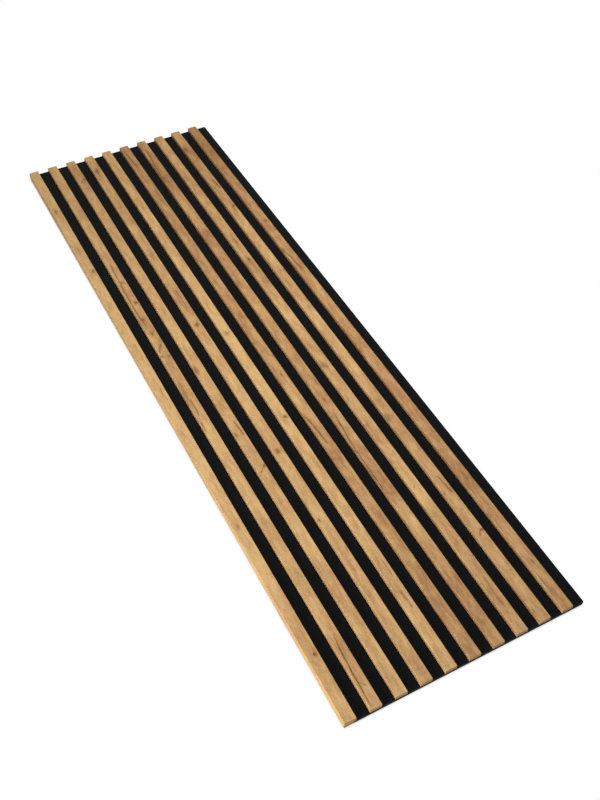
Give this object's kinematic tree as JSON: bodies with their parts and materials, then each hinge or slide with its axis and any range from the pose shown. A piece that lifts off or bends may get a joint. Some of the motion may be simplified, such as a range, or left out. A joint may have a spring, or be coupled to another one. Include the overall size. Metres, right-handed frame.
{
  "type": "slat wall panel",
  "caption": "Flat wall panel of parallel wood-decor slats glued on a black felt backing, with a first slat that reaches down beside the felt and a bare felt edge where the next panel joins.",
  "frame": {"origin": "middle of the panel's footprint, on the plane of the felt's back", "axes": "+X across the slats from the first slat to the bare felt edge, +Y along the slats, +Z out of the slatted face"},
  "size_m": [0.6, 2, 0.021],
  "materials": {
    "oak_decor": "satin wood-decor wrap",
    "black_felt": "matt felt"
  },
  "bodies": {
    "root": {"slat_01": "oak_decor", "slat_02": "oak_decor", "slat_03": "oak_decor", "slat_04": "oak_decor", "slat_05": "oak_decor", "slat_06": "oak_decor", "slat_07": "oak_decor", "slat_08": "oak_decor", "slat_09": "oak_decor", "slat_10": "oak_decor", "felt_backing": "black_felt"}
  },
  "joints": []
}
